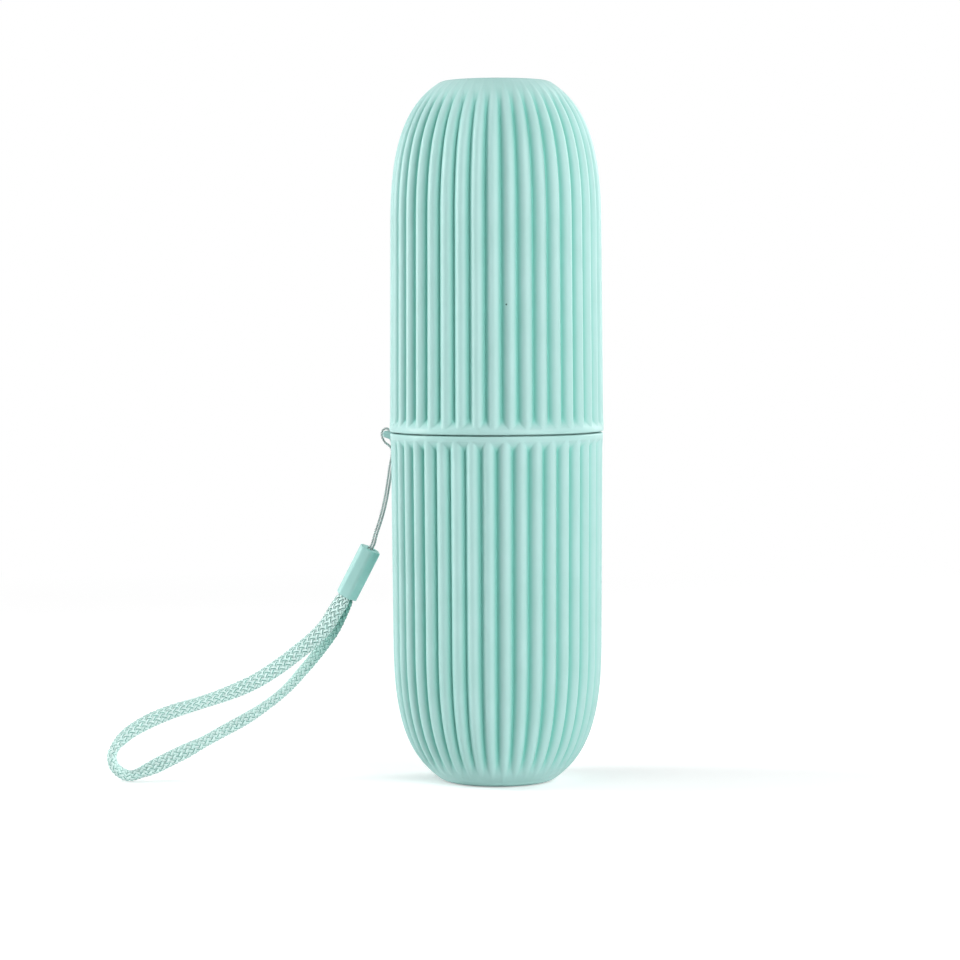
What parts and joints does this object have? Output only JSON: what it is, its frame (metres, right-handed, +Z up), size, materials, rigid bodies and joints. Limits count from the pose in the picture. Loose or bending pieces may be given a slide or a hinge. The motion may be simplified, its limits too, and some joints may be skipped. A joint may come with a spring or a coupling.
{
  "type": "toothbrush travel cup",
  "caption": "Ribbed pill-shaped travel case for a toothbrush: a lift-off lid that doubles as a rinse cup, a base with a collar, and a braided wrist lanyard on an eyelet at the seam.",
  "frame": {"origin": "centre of the flat foot", "axes": "+Z up along the cup's axis to the flat top, -X towards the eyelet and its lanyard"},
  "size_m": [0.1362, 0.0606, 0.196],
  "materials": {
    "shell_plastic": "fine matte mint green with sparse small flecks",
    "collar_plastic": "smooth matte mint green",
    "sleeve_plastic": "smooth matte mint green",
    "string_cord": "fine silver-grey twisted cord",
    "braid_cord": "pale mint tubular braid"
  },
  "bodies": {
    "base": {"base_shell": "shell_plastic", "neck_ring": "collar_plastic"},
    "lid": {"lid_shell": "shell_plastic"},
    "lanyard": {"lanyard_string": "string_cord", "string_knot": "string_cord", "lanyard_sleeve": "sleeve_plastic", "wrist_braid": "braid_cord"}
  },
  "joints": [
    {"name": "lid_lift", "type": "slide", "parent": "base", "child": "lid", "axis": [0, 0, 1], "range_m": [0, 0.12]},
    {"name": "lanyard_swing", "type": "hinge", "parent": "base", "child": "lanyard", "pos_m": [-0.0321, 0, 0.0974], "axis": [0, 1, 0], "range_deg": [0, 120]}
  ]
}
